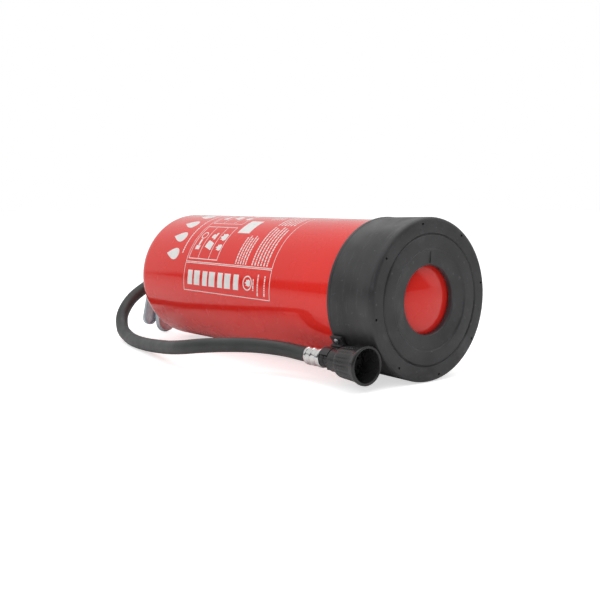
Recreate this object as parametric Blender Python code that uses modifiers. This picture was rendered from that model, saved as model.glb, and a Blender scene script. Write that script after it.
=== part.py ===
"""Nine litre water fire extinguisher, laid down on its side.

The extinguisher is drawn standing up in its own frame: h runs from the foot
to the head, x points the way the levers point, y is to the side.  One matrix
then lays the whole set down, so that the foot faces +X and the floor is z = 0.
Sizes below are in millimetres.
"""

import math

import bpy
import bmesh
from mathutils import Matrix, Vector

MM = 0.001

# ---- how the extinguisher lies ---------------------------------------------
FOOT_X = 300.75         # foot face, along +X
AXIS_Y = 12.6           # cylinder axis beside the middle of the row
AXIS_Z = 95.0           # cylinder axis above the floor
LEVER_DOWN = 78.0       # levers point this far below the horizontal, degrees

# ---- shell -----------------------------------------------------------------
SHELL_R = 90.5
WALL = 2.0
SHOULDER_H = 480.0
CROWN = 45.0
BASE_RIM_H = 48.0
BASE_DEEP = 41.5
NECK_HOLE_R = 21.3

# ---- foot ring -------------------------------------------------------------
FOOT_R = 95.0
FOOT_H = 74.5
FOOT_HOLE_R = 40.0
BOSS_R = 58.0
GROOVE_R = 76.0
DRAIN_R = 88.5
DRAIN_COUNT = 8
DRAIN_START = 23.0

# ---- valve -----------------------------------------------------------------
VALVE_R = 17.0
VALVE_TOP = 578.0
OUTLET_H = 556.0
OUTLET_AT = 51.4        # degrees round from the levers
GAUGE_H = 547.0
PIVOT_X = -12.0
PIVOT_H = 593.0
PIN_H = 573.0
SAFETY_X = 19.5
SAFETY_H = 577.0
EYE_OUT = 20.5          # eye of the safety pin, out from the axis

# ---- nozzle ----------------------------------------------------------------
NOZZLE_Y = -98.0
NOZZLE_Z = 30.0
MOUTH_BACK = 2.0        # mouth sits this far behind the foot face
MOUTH_R = 22.2
BARREL_LONG = 52.0
GRIP_LONG = 17.0
FERRULE_LONG = 27.0

# ---- hose ------------------------------------------------------------------
HOSE_R = 9.0
HOSE_WALL = 3.0
# centre line, as (distance back from the foot face, y from the cylinder axis,
# height above the floor)
HOSE_ROUTE = (
    (556.0, -25.6, 82.2),
    (556.0, -34.0, 78.0),
    (556.0, -42.9, 73.5),
    (554.3, -71.0, 56.6),
    (540.0, -96.0, 35.0),
    (514.0, -111.0, 17.5),
    (480.0, -121.0, 10.5),
    (441.0, -132.0, 9.3),
    (405.0, -140.0, 10.5),
    (370.0, -147.5, 13.0),
    (334.0, -155.0, 16.5),
    (299.0, -162.5, 20.5),
    (264.0, -166.0, 25.5),
    (230.0, -161.0, 31.0),
    (201.0, -145.0, 34.0),
    (170.0, -121.5, 34.5),
    (138.0, -103.4, 32.3),
    (107.0, -98.1, 30.1),
    (101.0, -98.0, 30.0),
    (75.2, -98.0, 30.0),
)

# ---- clean start -----------------------------------------------------------
for old in list(bpy.data.objects):
    bpy.data.objects.remove(old, do_unlink=True)

PARTS = bpy.data.collections.new("fire_extinguisher")
TOOLS = bpy.data.collections.new("cutters")
bpy.context.scene.collection.children.link(PARTS)
bpy.context.scene.collection.children.link(TOOLS)


# ---- frames ----------------------------------------------------------------
def lying_frame():
    """Matrix from the standing frame to the row, in metres."""
    a = math.radians(LEVER_DOWN)
    x_dir = Vector((0.0, -math.cos(a), -math.sin(a)))
    z_dir = Vector((-1.0, 0.0, 0.0))
    y_dir = z_dir.cross(x_dir)
    m = Matrix.Identity(4)
    for row in range(3):
        m[row][0] = x_dir[row]
        m[row][1] = y_dir[row]
        m[row][2] = z_dir[row]
    m.translation = Vector((FOOT_X * MM, AXIS_Y * MM, AXIS_Z * MM))
    return m


UP = lying_frame()


def at(x, y, h, frame=UP):
    """Frame moved to a point given in its own millimetres."""
    return frame @ Matrix.Translation(Vector((x * MM, y * MM, h * MM)))


def spoke(angle, h):
    """Frame whose z points outwards from the cylinder axis."""
    turn = Matrix.Rotation(math.radians(angle), 4, "Z")
    tip = Matrix.Rotation(math.radians(90.0), 4, "Y")
    return at(0.0, 0.0, h) @ turn @ tip


def across(x, h):
    """Frame whose z points along the pins, to the side."""
    tip = Matrix.Rotation(math.radians(-90.0), 4, "X")
    return at(x, 0.0, h) @ tip


def nozzle_frame():
    """Frame at the nozzle mouth, z running back along the hose."""
    place = Matrix.Translation(
        Vector(((FOOT_X - MOUTH_BACK) * MM, (AXIS_Y + NOZZLE_Y) * MM, NOZZLE_Z * MM))
    )
    return place @ Matrix.Rotation(math.radians(-90.0), 4, "Y")


NOZZLE = nozzle_frame()


# ---- materials -------------------------------------------------------------
def material(name, rgb, metallic, roughness):
    mat = bpy.data.materials.new(name)
    mat.use_nodes = True
    node = mat.node_tree.nodes["Principled BSDF"]
    node.inputs["Base Color"].default_value = (rgb[0], rgb[1], rgb[2], 1.0)
    node.inputs["Metallic"].default_value = metallic
    node.inputs["Roughness"].default_value = roughness
    return mat


RED = (0.62, 0.02, 0.018)
BLACK = (0.045, 0.045, 0.048)
STEEL = (0.55, 0.57, 0.58)
CHROME = (0.75, 0.75, 0.74)
BRASS = (0.62, 0.45, 0.2)
RUBBER = (0.03, 0.032, 0.032)
WHITE = (0.8, 0.8, 0.78)


# ---- makers ----------------------------------------------------------------
def finish_object(name, mesh, frame, look, cutter=False):
    obj = bpy.data.objects.new(name, mesh)
    obj.matrix_world = frame
    if cutter:
        TOOLS.objects.link(obj)
        obj.hide_render = True
        obj.display_type = "WIRE"
        return obj
    PARTS.objects.link(obj)
    rgb, metallic, roughness = look
    mesh.materials.append(material(name, rgb, metallic, roughness))
    return obj


def turned(name, profile, frame, look=None, steps=64, closed=True, cutter=False):
    """Solid of revolution; profile is a list of (radius, height)."""
    mesh = bpy.data.meshes.new(name)
    points = [(r * MM, 0.0, h * MM) for r, h in profile]
    edges = [(i, i + 1) for i in range(len(points) - 1)]
    if closed:
        edges.append((len(points) - 1, 0))
    mesh.from_pydata(points, edges, [])
    obj = finish_object(name, mesh, frame, look, cutter)
    screw = obj.modifiers.new("Turn", "SCREW")
    screw.axis = "Z"
    screw.angle = math.radians(360.0)
    screw.steps = steps
    screw.render_steps = steps
    screw.use_merge_vertices = True
    screw.merge_threshold = 0.00001
    screw.use_normal_calculate = False
    screw.use_smooth_shade = False
    return obj


def prism(name, outline, low, high, frame, look=None, cutter=False):
    """Flat outline in the frame's x and y, drawn out along z."""
    bm = bmesh.new()
    bottom = [bm.verts.new((x * MM, y * MM, low * MM)) for x, y in outline]
    top = [bm.verts.new((x * MM, y * MM, high * MM)) for x, y in outline]
    count = len(outline)
    bm.faces.new(list(reversed(bottom)))
    bm.faces.new(top)
    for i in range(count):
        j = (i + 1) % count
        bm.faces.new((bottom[i], bottom[j], top[j], top[i]))
    bmesh.ops.recalc_face_normals(bm, faces=bm.faces)
    mesh = bpy.data.meshes.new(name)
    bm.to_mesh(mesh)
    bm.free()
    return finish_object(name, mesh, frame, look, cutter)


def circle(radius, count=32, x=0.0, y=0.0):
    step = math.tau / count
    return [
        (x + radius * math.cos(step * i), y + radius * math.sin(step * i))
        for i in range(count)
    ]


def rod_cutter(name, radius, low, high, frame, count=20):
    return prism(name, circle(radius, count), low, high, frame, cutter=True)


def combine(obj, other, operation):
    mod = obj.modifiers.new(operation.title(), "BOOLEAN")
    mod.operation = operation
    mod.solver = "EXACT"
    mod.object = other


def cut(obj, other):
    combine(obj, other, "DIFFERENCE")


def join(obj, other):
    combine(obj, other, "UNION")


def arc(cx, cz, radius, start, end, count, squash=1.0):
    """Points of an arc in the (radius, height) plane, angles in degrees."""
    out = []
    for i in range(count + 1):
        a = math.radians(start + (end - start) * i / count)
        out.append((cx + radius * math.cos(a), cz + radius * squash * math.sin(a)))
    return out


PAINT = (RED, 0.0, 0.25)
PLASTIC = (BLACK, 0.0, 0.55)
GLOSSY = (BLACK, 0.0, 0.3)
ZINC = (STEEL, 1.0, 0.35)
BRIGHT = (CHROME, 1.0, 0.2)
YELLOW_METAL = (BRASS, 1.0, 0.3)
SOFT = (RUBBER, 0.0, 0.7)


# ---- shell -----------------------------------------------------------------
def crown_point(r, out_r, deep):
    return SHOULDER_H + deep * math.sqrt(max(0.0, 1.0 - (r / out_r) ** 2))


def dished_point(r, out_r, deep):
    return BASE_RIM_H - deep * math.sqrt(max(0.0, 1.0 - (r / out_r) ** 2))


def build_shell():
    top = math.degrees(math.acos(NECK_HOLE_R / SHELL_R))
    inner_r = SHELL_R - WALL
    inner_top = math.degrees(math.acos(NECK_HOLE_R / inner_r))
    outer = arc(0.0, SHOULDER_H, SHELL_R, top, 0.0, 8, CROWN / SHELL_R)
    inner = arc(0.0, SHOULDER_H, inner_r, 0.0, inner_top, 5, (CROWN - WALL) / inner_r)
    profile = outer + [(SHELL_R, BASE_RIM_H + 0.3), (inner_r, BASE_RIM_H + 0.3)] + inner
    turned("shell_body", profile, UP, PAINT, steps=64)

    outer = arc(0.0, BASE_RIM_H, SHELL_R, 0.0, -90.0, 7, BASE_DEEP / SHELL_R)
    inner = arc(0.0, BASE_RIM_H, inner_r, -90.0, 0.0, 4, (BASE_DEEP - WALL) / inner_r)
    outer[-1] = (0.0, BASE_RIM_H - BASE_DEEP)
    inner[0] = (0.0, BASE_RIM_H - BASE_DEEP + WALL)
    turned("shell_base", inner + outer, UP, PAINT, steps=64, closed=False)

    profile = [
        (15.3, 532.0),
        (25.0, 532.0),
        (26.0, 531.0),
        (26.0, 524.1),
        (20.9, 524.1),
        (20.9, 514.0),
        (15.3, 514.0),
    ]
    turned("neck_collar", profile, UP, PAINT, steps=32)


# ---- foot ring -------------------------------------------------------------
def build_foot_ring():
    inner_r = SHELL_R + 0.6
    deep = BASE_DEEP + 1.0
    seat = []
    for r in (91.1, 88.6, 82.0):
        seat.append((r, dished_point(r, inner_r, deep)))
    lip_r = FOOT_HOLE_R + 4.0
    profile = [
        (91.1, FOOT_H),
        (93.0, FOOT_H),
        (94.0, FOOT_H - 0.9),
        (94.0, FOOT_H - 4.6),
        (93.4, FOOT_H - 5.4),
        (95.0, 5.0),
        (94.0, 1.8),
        (91.6, 0.0),
        (GROOVE_R + 1.6, 0.0),
        (GROOVE_R, 1.8),
        (GROOVE_R - 1.6, 0.0),
        (BOSS_R + 1.2, 0.0),
        (BOSS_R, 1.4),
        (FOOT_HOLE_R + 1.2, 2.6),
        (FOOT_HOLE_R, 3.8),
        (FOOT_HOLE_R, dished_point(FOOT_HOLE_R, inner_r, deep)),
        (lip_r, dished_point(lip_r, inner_r, deep)),
        (lip_r + 1.0, 6.0),
        (81.0, 6.0),
    ]
    profile = profile + list(reversed(seat))
    ring = turned("foot_ring", profile, UP, PLASTIC, steps=64)
    for i in range(DRAIN_COUNT):
        a = math.radians(DRAIN_START + i * 360.0 / DRAIN_COUNT)
        x = DRAIN_R * math.cos(a)
        y = DRAIN_R * math.sin(a)
        hole = rod_cutter("drain_cutter_%d" % i, 1.5, -2.0, 5.0, at(x, y, 0.0), 8)
        cut(ring, hole)
    return ring


# ---- nozzle holder ---------------------------------------------------------
def build_nozzle_clip(ring):
    """C-shaped clip round the nozzle grip, standing on a pad on the foot ring."""
    side = math.degrees(math.atan2(AXIS_Z - NOZZLE_Z, -NOZZLE_Y))
    turn = LEVER_DOWN - side
    far = math.hypot(NOZZLE_Y, AXIS_Z - NOZZLE_Z)
    mid = MOUTH_BACK + BARREL_LONG + GRIP_LONG * 0.5
    frame = spoke(turn, mid)
    # in this frame z runs outwards, x runs towards the foot, y runs round
    opening = 62.0
    outline = []
    for i in range(19):
        a = math.radians(90.0 + opening + (360.0 - 2.0 * opening) * i / 18.0)
        outline.append((13.6 * math.cos(a), 13.6 * math.sin(a)))
    for i in range(19):
        a = math.radians(450.0 - opening - (360.0 - 2.0 * opening) * i / 18.0)
        outline.append((11.2 * math.cos(a), 11.2 * math.sin(a)))
    flat = frame @ Matrix.Translation(Vector((0.0, 0.0, far * MM)))
    flat = flat @ Matrix.Rotation(math.radians(90.0), 4, "Z")
    flat = flat @ Matrix.Rotation(math.radians(90.0), 4, "X")
    clip = prism("nozzle_clip", outline, -7.0, 7.0, flat, PLASTIC)
    stem_low = FOOT_R + 0.4
    stem_high = far - 12.4
    stem = prism(
        "clip_stem_cutter",
        [(-7.0, -5.0), (7.0, -5.0), (7.0, 5.0), (-7.0, 5.0)],
        stem_low,
        stem_high,
        frame,
        cutter=True,
    )
    join(clip, stem)
    arm_high = far - 14.2
    arm = prism(
        "clip_arm_cutter",
        [(-9.0, -7.2), (9.0, -7.2), (9.0, 7.2), (-9.0, 7.2)],
        stem_low,
        arm_high,
        frame,
        cutter=True,
    )
    join(clip, arm)
    pad = prism(
        "clip_pad_cutter",
        [(-9.2, -16.0), (9.2, -16.0), (9.2, 16.0), (-9.2, 16.0)],
        stem_low,
        stem_low + 3.0,
        frame,
        cutter=True,
    )
    join(clip, pad)
    for i, y in enumerate((-11.0, 11.0)):
        spot = frame @ Matrix.Translation(Vector((0.0, y * MM, 0.0)))
        hole = rod_cutter("clip_hole_cutter_%d" % i, 1.9, 80.0, stem_low + 5.0, spot, 16)
        cut(clip, hole)
        seat = rod_cutter("ring_hole_cutter_%d" % i, 1.9, 89.0, stem_low, spot, 16)
        cut(ring, seat)
        profile = [
            (0.0, stem_low + 5.1),
            (2.2, stem_low + 4.9),
            (3.2, stem_low + 4.3),
            (3.4, stem_low + 3.4),
            (1.5, stem_low + 3.4),
            (1.5, 92.6),
            (0.0, 92.0),
        ]
        turned("clip_screw_%d" % (i + 1), profile, spot, ZINC, steps=16, closed=False)
    return clip


# ---- nozzle ----------------------------------------------------------------
def build_nozzle():
    back = BARREL_LONG
    profile = [
        (12.0, back),
        (13.6, back),
        (13.6, 39.5),
        (17.2, 37.6),
        (18.3, 34.0),
        (19.6, 14.0),
        (21.6, 4.5),
        (MOUTH_R, 3.0),
        (MOUTH_R, 1.0),
        (MOUTH_R - 0.8, 0.0),
        (19.6, 0.0),
        (18.7, 1.2),
        (18.2, 12.0),
        (16.6, 30.0),
        (16.6, 34.0),
        (8.6, 34.0),
        (8.6, back - 3.0),
        (12.0, back - 3.0),
    ]
    barrel = turned("nozzle_barrel", profile, NOZZLE, GLOSSY, steps=48)
    ribs = 16
    for i in range(ribs):
        turn = Matrix.Rotation(math.tau * (i + 0.5) / ribs, 4, "Z")
        groove = prism(
            "barrel_groove_cutter_%d" % i,
            [(19.7, -0.7), (24.0, -1.3), (24.0, 1.3), (19.7, 0.7)],
            14.0,
            36.0,
            NOZZLE @ turn @ Matrix.Rotation(math.radians(-3.1), 4, "Y"),
            cutter=True,
        )
        cut(barrel, groove)

    profile = [
        (0.0, 29.6),
        (16.0, 29.6),
        (16.0, 25.0),
        (14.0, 24.0),
        (5.0, 24.0),
        (3.2, 22.6),
        (0.0, 22.2),
    ]
    plate = turned("spray_plate", profile, NOZZLE, GLOSSY, steps=32, closed=False)
    for i in range(6):
        a = math.tau * i / 6.0
        hole = prism(
            "spray_hole_cutter_%d" % i,
            circle(1.6, 8, 9.5 * math.cos(a), 9.5 * math.sin(a)),
            20.0,
            34.0,
            NOZZLE,
            cutter=True,
        )
        cut(plate, hole)

    low = back + 0.4
    high = back + GRIP_LONG - 0.3
    outline = []
    teeth = 20
    for i in range(teeth):
        for share, radius in ((0.0, 10.1), (0.25, 10.8), (0.5, 10.8), (0.75, 10.1)):
            a = math.tau * (i + share) / teeth
            outline.append((radius * math.cos(a), radius * math.sin(a)))
    grip = prism("nozzle_grip", outline, low, high, NOZZLE, GLOSSY)
    cut(grip, rod_cutter("grip_bore_cutter", 6.2, low - 4.0, high + 4.0, NOZZLE, 32))

    profile = [
        (4.9, high + 26.0),
        (4.9, high + 3.2),
        (7.8, high + 2.6),
        (7.8, high + 1.2),
        (5.8, high + 0.4),
        (5.8, back - 8.0),
        (8.2, back - 8.6),
        (8.2, back - 11.6),
        (2.8, back - 11.6),
        (2.8, high + 26.0),
    ]
    turned("nozzle_tail", profile, NOZZLE, YELLOW_METAL, steps=20)

    low = back + GRIP_LONG + 0.3
    high = back + GRIP_LONG + FERRULE_LONG
    profile = [
        (9.9, high),
        (10.8, high),
        (11.4, high - 1.2),
        (11.4, high - 4.0),
        (10.9, high - 5.5),
        (10.9, high - 15.0),
        (11.4, high - 16.5),
        (11.9, low + 1.2),
        (11.0, low),
        (8.3, low),
        (8.3, low + 3.2),
        (9.9, low + 3.2),
    ]
    turned("nozzle_ferrule", profile, NOZZLE, BRIGHT, steps=28)


# ---- hose ------------------------------------------------------------------
def smooth_route(points, steps):
    """Smooth curve through the points, with slopes set by their spacing."""
    count = len(points)
    gaps = [(points[i + 1] - points[i]).length for i in range(count - 1)]
    slopes = [(points[1] - points[0]) / gaps[0]]
    for i in range(1, count - 1):
        before = (points[i] - points[i - 1]) / gaps[i - 1]
        after = (points[i + 1] - points[i]) / gaps[i]
        slopes.append((after * gaps[i - 1] + before * gaps[i]) / (gaps[i - 1] + gaps[i]))
    slopes.append((points[-1] - points[-2]) / gaps[-1])
    out = []
    for i in range(count - 1):
        for k in range(steps):
            t = k / steps
            a = points[i] * (1.0 + 2.0 * t) * (1.0 - t) ** 2
            b = slopes[i] * gaps[i] * t * (1.0 - t) ** 2
            c = points[i + 1] * t * t * (3.0 - 2.0 * t)
            d = slopes[i + 1] * gaps[i] * t * t * (t - 1.0)
            out.append(a + b + c + d)
    out.append(points[-1])
    return out


def hose_points():
    route = []
    for back, y, z in HOSE_ROUTE:
        route.append(Vector(((FOOT_X - back) * MM, (AXIS_Y + y) * MM, z * MM)))
    return smooth_route(route, 3)


def build_hose():
    points = hose_points()
    curve = bpy.data.curves.new("hose", "CURVE")
    curve.dimensions = "3D"
    curve.bevel_depth = HOSE_R * MM
    curve.bevel_resolution = 2
    curve.use_fill_caps = False
    spline = curve.splines.new("POLY")
    spline.points.add(len(points) - 1)
    for i, point in enumerate(points):
        spline.points[i].co = (point.x, point.y, point.z, 1.0)
    obj = finish_object("hose", curve, Matrix.Identity(4), SOFT)
    wall = obj.modifiers.new("Wall", "SOLIDIFY")
    wall.thickness = HOSE_WALL * MM
    wall.offset = -1.0
    wall.use_rim = True
    wall.use_even_offset = True


# ---- valve -----------------------------------------------------------------
def build_valve():
    profile = [
        (0.0, VALVE_TOP),
        (14.5, VALVE_TOP),
        (16.0, VALVE_TOP - 1.0),
        (VALVE_R, VALVE_TOP - 2.5),
        (VALVE_R, 540.6),
        (20.0, 539.6),
        (21.5, 538.6),
        (21.5, 535.0),
        (14.9, 535.0),
        (14.9, 512.0),
        (0.0, 512.0),
    ]
    body = turned("valve_body", profile, UP, BRIGHT, steps=36, closed=False)
    flat = [(-19.0, 11.0), (19.0, 11.0), (19.0, 20.0), (-19.0, 20.0)]
    other = [(-19.0, -20.0), (19.0, -20.0), (19.0, -11.0), (-19.0, -11.0)]
    cut(body, prism("valve_flat_cutter_1", flat, 562.5, 590.0, UP, cutter=True))
    cut(body, prism("valve_flat_cutter_2", other, 562.5, 590.0, UP, cutter=True))
    cut(body, rod_cutter("valve_chamber_cutter", 9.0, 500.0, 550.0, UP, 27))
    cut(body, rod_cutter("valve_seat_cutter", 5.5, 548.3, 562.0, UP, 21))
    cut(body, rod_cutter("valve_stem_cutter", 3.4, 560.0, 590.0, UP, 19))
    for i, x in enumerate((-10.0, 10.0)):
        pin = rod_cutter("body_pin_cutter_%d" % i, 2.8, -30.0, 30.0, across(x, PIN_H))
        cut(body, pin)
    out = spoke(OUTLET_AT, OUTLET_H)
    cut(body, rod_cutter("valve_outlet_cutter", 4.7, 1.1, 40.0, out, 19))
    gauge = spoke(180.0, GAUGE_H)
    cut(body, rod_cutter("valve_gauge_cutter", 3.9, 1.0, 40.0, gauge, 18))

    profile = [
        (15.4, 534.7),
        (19.0, 534.7),
        (19.6, 533.5),
        (19.0, 532.3),
        (15.4, 532.3),
    ]
    turned("neck_gasket", profile, UP, SOFT, steps=32)

    # hose fitting: hexagon nut and tail in one, screwed in the outlet
    profile = [
        (4.9, 46.0),
        (4.9, 26.6),
        (8.2, 26.0),
        (10.6, 24.5),
        (10.6, 17.9),
        (4.2, 17.6),
        (4.2, 10.5),
        (2.6, 10.5),
        (2.6, 46.0),
    ]
    turned("hose_fitting", profile, out, BRIGHT, steps=24)

    profile = [
        (9.5, 47.0),
        (10.8, 47.0),
        (11.4, 45.8),
        (11.4, 42.0),
        (10.9, 40.5),
        (10.9, 32.0),
        (11.4, 30.5),
        (11.4, 27.0),
        (6.0, 26.9),
        (6.0, 28.0),
        (9.5, 28.0),
    ]
    turned("hose_ferrule", profile, out, BRIGHT, steps=28)


def build_valve_insides():
    profile = [
        (0.0, 596.2),
        (1.2, 596.1),
        (2.4, 595.6),
        (3.0, 594.8),
        (3.0, 545.9),
        (7.4, 545.9),
        (7.4, 543.2),
        (4.2, 543.2),
        (4.2, 537.0),
        (0.0, 537.0),
    ]
    turned("valve_stem", profile, UP, YELLOW_METAL, 18, closed=False)

    profile = [(3.35, 549.6), (7.2, 549.6), (7.6, 549.0), (7.6, 546.3), (3.35, 546.3)]
    turned("stem_seal", profile, UP, SOFT, steps=24)

    coils = 4
    low = 523.6
    high = 542.0
    points = []
    for i in range(coils * 12 + 1):
        a = math.tau * i / 12.0
        h = low + (high - low) * i / (coils * 12.0)
        points.append((6.3 * math.cos(a), 6.3 * math.sin(a), h))
    curve = bpy.data.curves.new("stem_spring", "CURVE")
    curve.dimensions = "3D"
    curve.bevel_depth = 0.6 * MM
    curve.bevel_resolution = 1
    curve.use_fill_caps = True
    spline = curve.splines.new("POLY")
    spline.points.add(len(points) - 1)
    for i, point in enumerate(points):
        spline.points[i].co = (point[0] * MM, point[1] * MM, point[2] * MM, 1.0)
    draft = bpy.data.objects.new("stem_spring_draft", curve)
    bm = bmesh.new()
    bm.from_mesh(bpy.data.meshes.new_from_object(draft))
    bpy.data.objects.remove(draft, do_unlink=True)
    bmesh.ops.remove_doubles(bm, verts=bm.verts, dist=0.00001)
    bmesh.ops.recalc_face_normals(bm, faces=bm.faces)
    mesh = bpy.data.meshes.new("stem_spring")
    bm.to_mesh(mesh)
    bm.free()
    finish_object("stem_spring", mesh, UP, ZINC)

    # dip tube holder, screwed up into the valve, with the tube's socket below
    profile = [
        (3.6, 522.6),
        (8.6, 522.6),
        (8.6, 511.6),
        (12.0, 511.6),
        (12.0, 500.0),
        (10.0, 492.0),
        (6.9, 492.0),
        (6.9, 509.0),
        (3.6, 509.0),
    ]
    turned("tube_holder", profile, UP, (WHITE, 0.0, 0.5), steps=24)

    profile = [(5.0, 508.6), (6.5, 508.6), (6.5, 20.0), (5.0, 20.0)]
    turned("dip_tube", profile, UP, (WHITE, 0.0, 0.5), steps=20)

    profile = [
        (0.0, 14.0),
        (6.9, 14.0),
        (6.9, 44.0),
        (8.8, 44.0),
        (8.8, 12.0),
        (0.0, 12.0),
    ]
    strainer = turned("dip_tube_strainer", profile, UP, (WHITE, 0.0, 0.5), 24, closed=False)
    for i in range(3):
        turn = Matrix.Rotation(math.radians(60.0 * i), 4, "Z")
        slot = prism(
            "strainer_slot_cutter_%d" % i,
            [(-12.0, -1.2), (12.0, -1.2), (12.0, 1.2), (-12.0, 1.2)],
            15.0,
            18.5,
            UP @ turn,
            cutter=True,
        )
        cut(strainer, slot)


# ---- gauge -----------------------------------------------------------------
def build_gauge():
    frame = spoke(180.0, GAUGE_H)
    profile = [
        (13.4, 33.6),
        (13.4, 25.6),
        (12.6, 24.6),
        (5.6, 24.0),
        (5.6, 18.0),
        (3.2, 17.6),
        (3.2, 10.4),
        (1.2, 10.4),
        (1.2, 26.4),
        (12.2, 26.4),
        (12.2, 33.6),
    ]
    turned("gauge_case", profile, frame, YELLOW_METAL, steps=28)
    profile = [(2.0, 27.6), (11.8, 27.6), (11.8, 26.8), (2.0, 26.8)]
    turned("gauge_dial", profile, frame, (WHITE, 0.0, 0.5), steps=32)
    needle = [(-4.0, -1.0), (-4.0, 1.0), (0.0, 1.3), (9.5, 0.25), (9.5, -0.25), (0.0, -1.3)]
    place = frame @ Matrix.Rotation(math.radians(150.0), 4, "Z")
    prism("gauge_needle", needle, 28.1, 28.8, place, (BLACK, 0.0, 0.4))
    profile = [(0.0, 33.0), (9.0, 32.8), (11.8, 32.0), (11.8, 30.6), (0.0, 30.6)]
    turned("gauge_lens", profile, frame, (WHITE, 0.0, 0.05), steps=32, closed=False)


# ---- levers ----------------------------------------------------------------
def tongue(length, half, tip, start=0.0, root=None):
    """Outline of a pressed lever seen from above, with a round tip."""
    root = half if root is None else root
    out = [(start, -root)]
    centre = length - tip
    for i in range(11):
        a = math.radians(-90.0 + 180.0 * i / 10.0)
        y = tip * math.sin(a)
        x = centre + tip * math.cos(a)
        if half > tip:
            y += math.copysign(half - tip, y) if abs(y) > 0.001 else 0.0
        out.append((x, y))
    out.append((start, root))
    return out


def build_carry_handle():
    thick = 1.8
    slope = math.radians(21.5)
    root = at(19.0, 0.0, 567.0) @ Matrix.Rotation(slope, 4, "Y")
    long = 79.8
    outer = tongue(long, 14.0, 13.0, 0.0, 13.2)
    inner = tongue(long - thick, 14.0 - thick, 13.0 - thick, -6.0, 13.2 - thick)
    handle = prism("carry_handle", outer, 0.0, 9.0, root, ZINC)
    cut(handle, prism("handle_tray_cutter", inner, thick, 14.0, root, cutter=True))
    side = [
        (-19.0, 568.2),
        (19.0, 568.2),
        (26.0, 565.2),
        (30.0, 563.6),
        (30.0, 571.0),
        (27.0, 579.0),
        (23.0, 584.0),
        (14.0, 589.0),
        (-4.0, 600.0),
        (-12.0, 601.5),
        (-19.0, 598.5),
    ]
    for i, low in enumerate((-13.2, 11.4)):
        turn = at(0.0, 0.0, 0.0) @ Matrix.Rotation(math.radians(90.0), 4, "X")
        ear = prism("handle_ear_cutter_%d" % i, side, -low - thick, -low, turn, cutter=True)
        join(handle, ear)
    cut(handle, rod_cutter("handle_pivot_cutter", 2.85, -30.0, 30.0, across(PIVOT_X, PIVOT_H)))
    for i, x in enumerate((-10.0, 10.0)):
        hole = rod_cutter("handle_pin_cutter_%d" % i, 2.85, -30.0, 30.0, across(x, PIN_H))
        cut(handle, hole)
    cut(handle, rod_cutter("handle_safety_cutter", 2.2, -30.0, 30.0, across(SAFETY_X, SAFETY_H)))
    return handle


def build_operating_lever():
    thick = 1.6
    pivot = at(PIVOT_X, 0.0, PIVOT_H)
    far = 90.0 - PIVOT_X
    outer = tongue(far, 11.0, 10.5, -7.0, 11.0)
    inner = tongue(far - thick, 11.0 - thick, 10.5 - thick, -12.0, 11.0 - thick)
    lever = prism("operating_lever", outer, -6.0, 5.2, pivot, ZINC)
    cut(lever, prism("lever_tray_cutter", inner, -10.0, 5.2 - thick, pivot, cutter=True))
    trim = [(11.0, -12.0), (120.0, -12.0), (120.0, -1.5), (18.0, -1.5), (11.0, -5.0)]
    turn = pivot @ Matrix.Rotation(math.radians(90.0), 4, "X")
    cut(lever, prism("lever_trim_cutter", trim, -20.0, 20.0, turn, cutter=True))
    cut(lever, rod_cutter("lever_pivot_cutter", 2.85, -30.0, 30.0, across(PIVOT_X, PIVOT_H)))
    return lever


def pin_profile(half, head):
    return [
        (0.0, half + 1.6),
        (head - 0.6, half + 1.6),
        (head, half + 1.0),
        (head, half),
        (2.5, half),
        (2.5, -half),
        (head, -half),
        (head, -half - 1.0),
        (head - 0.6, -half - 1.6),
        (0.0, -half - 1.6),
    ]


def build_pins():
    half = 13.6
    turned("lever_pin", pin_profile(half, 4.2), across(PIVOT_X, PIVOT_H), ZINC, 20, closed=False)
    for i, x in enumerate((-10.0, 10.0)):
        name = "handle_pin_%d" % (i + 1)
        turned(name, pin_profile(half, 4.2), across(x, PIN_H), ZINC, 20, closed=False)

    # safety pin: straight wire with a flat eye at its head, on the -y side
    frame = across(SAFETY_X, SAFETY_H) @ Matrix.Rotation(math.radians(180.0), 4, "X")
    profile = [
        (0.0, 17.0),
        (3.4, 17.0),
        (3.4, 14.0),
        (1.8, 13.8),
        (1.8, -20.0),
        (0.9, -21.5),
        (0.0, -21.5),
    ]
    pin = turned("safety_pin", profile, frame, ZINC, 20, closed=False)
    flat = eye_frame(frame)
    disc = circle(4.6, 20, 0.0, EYE_OUT)
    join(pin, prism("pin_eye_cutter", disc, -1.2, 1.2, flat, cutter=True))
    bore = circle(2.6, 16, 0.0, EYE_OUT)
    cut(pin, prism("pin_hole_cutter", bore, -5.0, 5.0, flat, cutter=True))

    # pull ring through the eye, hanging straight down
    eye = flat @ Vector((0.0, EYE_OUT * MM, 0.0))
    swing = Matrix.Translation(eye)
    bpy.ops.mesh.primitive_torus_add(
        major_segments=28,
        minor_segments=8,
        major_radius=11.5 * MM,
        minor_radius=1.1 * MM,
    )
    ring = bpy.context.active_object
    for owner in list(ring.users_collection):
        owner.objects.unlink(ring)
    PARTS.objects.link(ring)
    ring.name = "pull_ring"
    ring.data.name = "pull_ring"
    turn = Matrix.Rotation(math.radians(90.0), 4, "X")
    ring.data.transform(Matrix.Translation(Vector((0.0, 0.0, -11.5 * MM))) @ turn)
    ring.matrix_world = swing
    ring.data.materials.append(material("pull_ring", STEEL, 1.0, 0.35))


def eye_frame(frame):
    """Turn a pin frame so that y runs along the pin and z runs through its eye."""
    return frame @ Matrix.Rotation(math.radians(90.0), 4, "X")


build_shell()
foot = build_foot_ring()
build_nozzle_clip(foot)
build_nozzle()
build_hose()
build_valve()
build_valve_insides()
build_gauge()
build_carry_handle()
build_operating_lever()
build_pins()

for item in TOOLS.objects:
    item.hide_set(True)
bpy.context.view_layer.update()
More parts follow.
